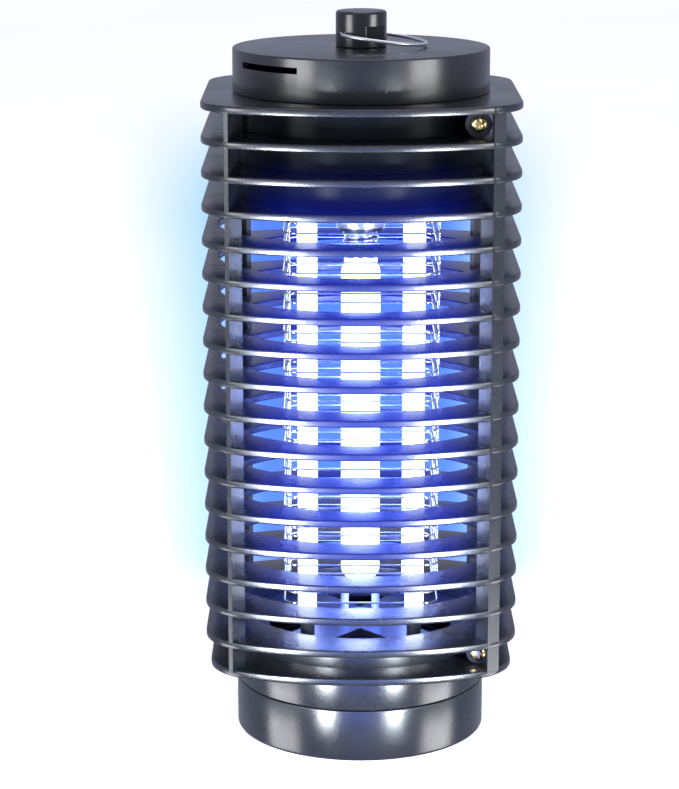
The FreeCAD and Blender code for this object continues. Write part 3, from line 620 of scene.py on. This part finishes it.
HEAD_RADIUS, HEAD_HEIGHT, HEAD_RIM = 2.5 * MM, 2.0 * MM, 0.35
SLOT_HALF = (1.5 * MM, 0.32 * MM)
SLOT_FLOOR = 0.45
SLOT_TURN = 0.35
SHANK_RADIUS, SHANK_END = 1.25 * MM, 14 * MM
SPIN_PER_METRE = 40


def screw_head(steps=6):
    """Pan head over z = 0, pointing up."""
    profile = [(0, 0), (HEAD_RADIUS, 0), (HEAD_RADIUS, HEAD_HEIGHT * HEAD_RIM)]
    for i in range(1, steps + 1):
        angle = math.pi / 2 * i / steps
        across = HEAD_RADIUS * math.cos(angle) if i < steps else 0
        profile.append((across, HEAD_HEIGHT * (HEAD_RIM + (1 - HEAD_RIM) * math.sin(angle))))
    return lathe(profile, 40)


def build_shell_screws():
    """Brass pan-head screws with a cross recess; their shanks run through the bosses."""
    head = weld(screw_head().make("head", "housing", BRASS))
    x, y = SLOT_HALF
    for turn in (0, math.pi / 2):
        slot = prism([(-x, -y), (x, -y), (x, y), (-x, y)], HEAD_HEIGHT * SLOT_FLOOR, HEAD_HEIGHT * 2)
        cut_away(head, cutter_from(slot.turned(turn + SLOT_TURN)))
    heads = bmesh.new()
    for sign in (1, -1):
        for x, z, seat, _ in SCREWS:
            copy = head.data.copy()
            side = Matrix.Rotation(math.radians(90 * sign), 4, "X")
            spin = Matrix.Rotation(z * SPIN_PER_METRE, 4, "Z")
            copy.transform(Matrix.Translation((sign * x, -sign * seat, z)) @ side @ spin)
            heads.from_mesh(copy)
            shank = rod((sign * x, -sign * seat, z), (sign * x, sign * SHANK_END, z), SHANK_RADIUS)
            heads.from_mesh(shank.mesh("shank"))
    bpy.data.objects.remove(head)
    mesh = bpy.data.meshes.new("shell_screws_cross_head")
    heads.to_mesh(mesh)
    heads.free()
    piece = place(bpy.data.objects.new("shell_screws_cross_head", mesh), "housing", BRASS)
    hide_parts("shell_screws")


# ---------------------------------------------------------------- cap, knob and bail

def ring_sector(inner, outer, bottom, top, start, end, steps=24):
    """Curved bar between two bearings, in radians from +X."""
    outline = []
    for radius, angles in ((inner, range(steps + 1)), (outer, range(steps, -1, -1))):
        for i in angles:
            angle = start + (end - start) * i / steps
            outline.append((radius * math.cos(angle), radius * math.sin(angle)))
    count = len(outline)
    vertices = [(x, y, z) for z in (bottom, top) for x, y in outline]
    faces = grid_faces(2, count)
    for row in (0, count):
        for i in range(steps):
            faces.append((row + i, row + i + 1, row + count - 2 - i, row + count - 1 - i))
    return Builder().add(vertices, faces)


VENT_LEVEL, VENT_HEIGHT = 223.4 * MM, 2 * MM
VENT_BEARING, VENT_SPAN = math.radians(-90 - 65), math.radians(36)
INLET_LEVEL, INLET_RADIUS = 220.6 * MM, 4.6 * MM


def build_cap():
    """Round cap with a softened top edge, two vent slots and the cord inlet."""
    top, bottom = CAP_HIGH.z, CAP_LOW.z
    inside = top - 2.4 * MM
    profile = rounded([
        (2.2 * MM, inside, 0), (DRUM_RADIUS - WALL, inside, 0.5 * MM), (DRUM_RADIUS - WALL, bottom, 0.2 * MM),
        (DRUM_RADIUS, bottom, 0.25 * MM), (DRUM_RADIUS, top, 0.6 * MM), (2.2 * MM, top, 0)])
    cap = lathe(profile, 192).make("top_cap_moulding", "housing", HOUSING)
    for turn in (0, math.pi):
        start = VENT_BEARING + turn
        sector = ring_sector(DRUM_RADIUS - 4 * MM, DRUM_RADIUS + 3 * MM, VENT_LEVEL, VENT_LEVEL + VENT_HEIGHT,
                             start, start + VENT_SPAN)
        cut_away(cap, cutter_from(sector))
    inlet = rod((0, DRUM_RADIUS - 8 * MM, INLET_LEVEL), (0, DRUM_RADIUS + 4 * MM, INLET_LEVEL), INLET_RADIUS, 48)
    cut_away(cap, cutter_from(inlet))
    place(cap, "housing", HOUSING)
    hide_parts("top_cap")


BAIL_X = -5.9 * MM
BAIL_LEVEL = 232.8 * MM
BAIL_WIRE = 0.6 * MM
BAIL_REACH, BAIL_HALF, BAIL_CORNER = 27.1 * MM, 6.5 * MM, 6.0 * MM
BAIL_TILT = math.radians(7)
BORE_CLEARANCE = 0.35 * MM
POCKET = [(1.2 * MM, -10 * MM, 0), (9.5 * MM, -10 * MM, 0),
          (9.5 * MM, -3.6 * MM, 0), (1.2 * MM, -3.6 * MM, 0.6 * MM)]
POCKET_FLOOR, POCKET_TOP = 231.0 * MM, 235.4 * MM


def build_knob():
    radius, top, bottom = KNOB_HIGH.x, KNOB_HIGH.z, KNOB_LOW.z
    profile = rounded([
        (0, bottom, 0), (radius, bottom, 0.4 * MM), (radius, top, 0.9 * MM), (0, top, 0)], 6)
    knob = weld(lathe(profile, 96).make("hanger_knob_moulding", "housing", HANGER_PLASTIC))
    bore = rod((BAIL_X, -2 * radius, BAIL_LEVEL), (BAIL_X, 2 * radius, BAIL_LEVEL), BAIL_WIRE + BORE_CLEARANCE, 24)
    cut_away(knob, cutter_from(bore))
    cut_away(knob, cutter_from(prism(rounded(POCKET), POCKET_FLOOR, POCKET_TOP)))
    place(knob, "housing", HANGER_PLASTIC)
    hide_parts("hanger_knob")


def wire_curve(name, loops, radius, body, material):
    """Round wire along runs of points, turned into a mesh; each run comes with whether it closes on itself."""
    curve = bpy.data.curves.new(name, "CURVE")
    curve.dimensions = "3D"
    curve.bevel_depth = radius
    curve.bevel_resolution = 4
    curve.use_fill_caps = True
    for points, closed in loops:
        spline = curve.splines.new("POLY")
        spline.points.add(len(points) - 1)
        for place_on, spot in zip(spline.points, points):
            place_on.co = (*spot, 1)
        spline.use_cyclic_u = closed
    holder = bpy.data.objects.new(name, curve)
    bpy.context.scene.collection.objects.link(holder)
    bpy.context.view_layer.update()
    mesh = bpy.data.meshes.new_from_object(holder.evaluated_get(bpy.context.evaluated_depsgraph_get()))
    bpy.data.objects.remove(holder)
    clean_normals(mesh)
    mesh.name = name
    return place(bpy.data.objects.new(name, mesh), body, material, 60)


def arc_points(centre, radius, start, end, steps):
    return [(centre[0] + radius * math.cos(start + (end - start) * i / steps),
             centre[1] + radius * math.sin(start + (end - start) * i / steps)) for i in range(steps + 1)]


def build_bail():
    """Flat-sided loop of plated wire, resting on the cap."""
    reach, half, corner = BAIL_REACH, BAIL_HALF, BAIL_CORNER
    big = ((reach - corner) ** 2 + half ** 2 - corner ** 2) / (2 * (reach - 2 * corner))
    centre = reach - big
    lean = math.atan2(half, corner - centre)
    outline = [(0, half * (1 - i / 3)) for i in range(1, 6)]
    outline += arc_points((corner, -half), corner, math.pi, 2 * math.pi - lean, 18)
    outline += arc_points((centre, 0), big, -lean, lean, 56)[1:]
    outline += arc_points((corner, half), corner, lean, math.pi, 18)[1:]
    points = [(BAIL_X + x * math.cos(BAIL_TILT), y, BAIL_LEVEL - x * math.sin(BAIL_TILT)) for x, y in outline]
    bail = wire_curve("hanger_bail_wire", [(points, True)], BAIL_WIRE, "bail", BAIL_STEEL)
    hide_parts("hanger_bail")


# ---------------------------------------------------------------- lamp and grid

LAMP_DOME, LAMP_SHOULDER, SHOULDER_ROUND = 5 * MM, 157 * MM, 3 * MM


def build_lamp():
    radius, neck = TUBE_HIGH.x, TUBE_HIGH.x - 1 * MM
    bottom, straight = TUBE_LOW.z, LAMP_SHOULDER - SHOULDER_ROUND
    profile = [(0, bottom)]
    for i in range(1, 9):
        angle = math.pi / 2 * i / 8
        profile.append((radius * math.sin(angle), bottom + LAMP_DOME * (1 - math.cos(angle))))
    profile.append((radius, straight))
    for i in range(1, 7):
        angle = math.pi / 2 * i / 6
        profile.append((neck + (radius - neck) * math.cos(angle), straight + SHOULDER_ROUND * math.sin(angle)))
    profile += [(neck, TUBE_HIGH.z), (0, TUBE_HIGH.z)]
    tube = weld(lathe(profile, 64).make("lamp_tube_glass", "housing", LAMP_GLASS))
    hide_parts("lamp_tube")
    tube.visible_shadow = False


def build_lamp_base():
    """Threaded metal base with a real helix, and the smooth neck under it."""
    low, high, radius = BASE_LOW.z, BASE_HIGH.z, BASE_HIGH.x
    pitch, depth = 2.6 * MM, 0.55 * MM
    segments, rows = 72, 110
    vertices = []
    for row in range(rows + 1):
        height = low + (high - low) * row / rows
        for i in range(segments):
            angle = 2 * math.pi * i / segments
            wave = 0.5 - 0.5 * math.cos(2 * math.pi * (height / pitch) - angle)
            fade = min(1, (height - low) / (3 * MM), (high - height) / (2 * MM))
            r = radius - depth * wave * max(fade, 0)
            vertices.append((r * math.cos(angle), r * math.sin(angle), height))
    faces = grid_faces(rows + 1, segments)
    faces += [tuple(range(segments)), tuple(range(rows * segments, (rows + 1) * segments))]
    base = Builder().add(vertices, faces).make("lamp_base_threaded", "housing", SOCKET_METAL)
    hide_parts("lamp_base")


WIRE_STRAIGHT = 20.6 * MM
WIRE_RADIUS = 0.3 * MM
WIRE_PITCH = 6.46 * MM
WIRE_COUNT = 20
WIRE_FIRST = 49 * MM


def wire_loop(half, level):
    corner = half - WIRE_STRAIGHT
    side = WIRE_STRAIGHT
    outline = []
    for quarter, centre in enumerate(((side, side), (-side, side), (-side, -side), (side, -side))):
        start = math.pi / 2 * quarter
        outline += arc_points(centre, corner, start, start + math.pi / 2, 8)
    return [(x, y, level) for x, y in outline]


def build_grid(node, half, first, bus):
    loops = [(wire_loop(half, first + WIRE_PITCH * i), True) for i in range(WIRE_COUNT)]
    x, y = bus
    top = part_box(node)[1].z
    loops.append(([(x, y, first - 1 * MM), (x, y, top)], False))
    grid = wire_curve(node + "_wires", loops, WIRE_RADIUS, "housing", WIRE_STEEL)
    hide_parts(node)


def build_grids():
    """Two interleaved sets of wire loops, each with its own upright feed."""
    live, returning = 25.1 * MM, 24.1 * MM
    build_grid("grid_live", live, WIRE_FIRST, (live + 0.6 * MM, -4 * MM))
    build_grid("grid_return", returning, WIRE_FIRST + WIRE_PITCH / 2, (-returning + 0.6 * MM, 4 * MM))


# ---------------------------------------------------------------- collar and tray

def build_collar():
    low, high, radius = COLLAR_LOW.z, COLLAR_HIGH.z, COLLAR_HIGH.x
    shoulder = BASE_FIN - FIN_THICKNESS
    profile = rounded([
        (radius - WALL, low, 0.3 * MM), (radius, low, 0.35 * MM), (radius, shoulder, 0.1 * MM),
        (radius - WALL - 0.2 * MM, shoulder, 0), (radius - WALL - 0.2 * MM, high, 0.2 * MM),
        (radius - WALL - 1.6 * MM, high, 0.2 * MM), (radius - WALL - 1.6 * MM, shoulder - 1.5 * MM, 0),
        (radius - WALL, shoulder - 2.6 * MM, 0)])
    collar = lathe(profile, 192).make("base_collar_moulding", "housing", HOUSING)
    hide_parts("base_collar")


def build_tray():
    radius, rim = TRAY_HIGH.x, COLLAR_LOW.z - 0.3 * MM
    spigot = radius - WALL - 0.4 * MM
    profile = rounded([
        (0, 0, 0), (radius, 0, 1.1 * MM), (radius, rim, 0.35 * MM), (spigot, rim, 0.1 * MM),
        (spigot, TRAY_HIGH.z, 0.3 * MM), (spigot - 1.6 * MM, TRAY_HIGH.z, 0.3 * MM),
        (spigot - 1.6 * MM, 2 * MM, 1.2 * MM), (0, 2 * MM, 0)])
    tray = weld(lathe(profile, 192).make("collection_tray_moulding", "tray", HOUSING))
    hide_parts("collection_tray")


# ---------------------------------------------------------------- stage, light and camera

def floor_material():
    finish = Finish("pale_floor", roughness=0.8, specular=0.0)
    finish.colour((0.86, 0.87, 0.89), (0.88, 0.89, 0.91), 3)
    finish.relief(0.02, 60)
    return finish.material


FLOOR_REACH = 12.0


def build_floor():
    mesh = bpy.data.meshes.new("floor")
    corners = [(-1, -1), (1, -1), (1, 1), (-1, 1)]
    mesh.from_pydata([(x * FLOOR_REACH, y * FLOOR_REACH, 0) for x, y in corners], [], [(0, 1, 2, 3)])
    floor = bpy.data.objects.new("floor", mesh)
    bpy.context.scene.collection.objects.link(floor)
    mesh.materials.append(floor_material())
    floor.visible_glossy = False


# Size, place and colours of the painted pool of blue glow on the floor behind the zapper.
GEL_REACH_X = 0.6
GEL_NEAR, GEL_FAR = 0.09, 2.2
GEL_LEVEL = 1 * MM
GEL_SPREAD = 1.17
GEL_EDGE, GEL_SHADE = (0.030, 0.085), (0.028, 0.050)
GEL_START, GEL_END = (0.10, 0.20), (1.0, 1.9)
GEL_BLUE, GEL_PALE = (0.10, 0.24, 1.0, 1), (0.30, 0.62, 1.0, 1)


def painted_glow_gel():
    """Soft-edged blue filter just above the floor behind the zapper; it only tints the light that falls there, so
    the floor shows a painted pool of blue glow.
    """
    mesh = bpy.data.meshes.new("painted_glow_gel")
    corners = [(-1, GEL_NEAR), (1, GEL_NEAR), (1, GEL_FAR), (-1, GEL_FAR)]
    mesh.from_pydata([(side * GEL_REACH_X, y, GEL_LEVEL) for side, y in corners], [], [(0, 1, 2, 3)])
    gel = bpy.data.objects.new("painted_glow_gel", mesh)
    bpy.context.scene.collection.objects.link(gel)
    material = bpy.data.materials.new("painted_glow_gel")
    material.use_nodes = True
    shader = Nodes(material.node_tree)
    shader.tree.nodes.clear()
    axes = shader.axes(shader.node("ShaderNodeTexCoord").outputs["Object"])
    spread = shader.maths("ADD", shader.maths("MULTIPLY", axes["Y"], GEL_SPREAD), 1.0)
    across = shader.maths("DIVIDE", shader.maths("ABSOLUTE", axes["X"]), spread)
    side = shader.ramp(across, *GEL_EDGE, 1.0, 0.0)
    start = shader.ramp(axes["Y"], *GEL_START, 0.0, 1.0)
    end = shader.ramp(axes["Y"], *GEL_END, 1.0, 0.0)
    mask = shader.maths("MULTIPLY", shader.maths("MULTIPLY", side, start), end)
    blue = shader.mix(shader.ramp(across, *GEL_SHADE, 0.0, 1.0), GEL_BLUE, GEL_PALE)
    clear = shader.node("ShaderNodeBsdfTransparent")
    # Painted blue glow pool: the filter tints the floor's light blue inside the mask.
    shader.link(shader.mix(mask, (1, 1, 1, 1), blue), clear.inputs["Color"])
    shader.link(clear.outputs[0], shader.node("ShaderNodeOutputMaterial").inputs["Surface"])
    mesh.materials.append(material)
    gel.visible_camera = gel.visible_glossy = gel.visible_transmission = False


def area_light(name, place_at, aim, width, height, power, colour=(1, 1, 1)):
    light = bpy.data.lights.new(name, "AREA")
    light.shape = "RECTANGLE"
    light.size, light.size_y = width, height
    light.energy = power
    light.color = colour
    holder = bpy.data.objects.new(name, light)
    holder.location = place_at
    holder.rotation_euler = (Vector(aim) - Vector(place_at)).to_track_quat("-Z", "Y").to_euler()
    holder.visible_camera = False
    bpy.context.scene.collection.objects.link(holder)
    return holder


def point_light(name, place_at, radius, power, colour):
    light = bpy.data.lights.new(name, "POINT")
    light.shadow_soft_size = radius
    light.energy = power
    light.color = colour
    holder = bpy.data.objects.new(name, light)
    holder.location = place_at
    bpy.context.scene.collection.objects.link(holder)
    return holder


LAMP_BLUE = (0.06, 0.16, 1.0)
LAMP_SPAN = (0.066, 0.150)
LAMP_LIGHTS = 6


def ring_light(name, bearing, distance, low, high, width, radiance, colour=(1, 1, 1)):
    """Upright soft light at a bearing from the front, facing the axis; its power follows from its radiance."""
    angle = math.radians(bearing)
    height = high - low
    spot = (distance * math.sin(angle), -distance * math.cos(angle), (low + high) / 2)
    power = radiance * math.pi * width * height
    area_light(name, spot, (0, 0, spot[2]), width, height, power, colour)


def build_lights():
    """Soft strips for the bands on cap and tray, three close ones for the fins' rims, and the lamp's own light."""
    for side, name in ((-1, "left"), (1, "right")):
        ring_light("cap_strip_" + name, side * 56, 0.9, 0.09, 0.30, 0.40, 11)
        ring_light("tray_strip_" + name, side * 76, 0.9, -0.52, -0.26, 0.52, 10)
        ring_light("rim_strip_" + name, side * 29, 0.30, -0.06, 0.14, 0.060, 95, (0.85, 0.93, 1.0))
    ring_light("rim_blue", 0, 0.30, -0.06, 0.12, 0.20, 4.5, (0.03, 0.12, 1.0))
    area_light("top_softbox", (0.1, 0.2, 1.3), (0, 0, 0.1), 0.9, 0.9, 4)
    for i in range(LAMP_LIGHTS):
        height = LAMP_SPAN[0] + (LAMP_SPAN[1] - LAMP_SPAN[0]) * i / (LAMP_LIGHTS - 1)
        point_light(f"lamp_light_{i}", (0, 0, height), 0.0062, 0.35, LAMP_BLUE)


def build_world():
    """White surroundings that light the floor evenly, but look dim and bluish in the gloss."""
    world = bpy.data.worlds.new("studio")
    world.use_nodes = True
    bpy.context.scene.world = world
    shader = Nodes(world.node_tree)
    glossy = shader.node("ShaderNodeLightPath").outputs["Is Glossy Ray"]
    colour = shader.mix(glossy, (1.10, 1.11, 1.12, 1), (0.36, 0.38, 0.50, 1))
    shader.link(colour, shader.tree.nodes["Background"].inputs["Color"])


CAMERA_PLACE = (-0.00697, -0.8531, 0.3149)
CAMERA_PITCH = math.radians(13.295)
FOCAL_MM, SENSOR_MM = 120.57, 36.0


def build_camera():
    camera = bpy.data.cameras.new("camera")
    camera.sensor_width = SENSOR_MM
    camera.lens = FOCAL_MM
    camera.clip_start, camera.clip_end = 0.05, 60
    holder = bpy.data.objects.new("camera", camera)
    holder.location = CAMERA_PLACE
    holder.rotation_euler = (math.pi / 2 - CAMERA_PITCH, 0, 0)
    bpy.context.scene.collection.objects.link(holder)
    bpy.context.scene.camera = holder


build_camera()
paint_cad_nodes()
build_shells()
build_shell_screws()
build_cap()
build_knob()
build_bail()
build_lamp()
build_lamp_base()
build_grids()
build_collar()
build_tray()
build_floor()
painted_glow_gel()
build_lights()
build_world()
bpy.context.scene.view_settings.view_transform = "Standard"
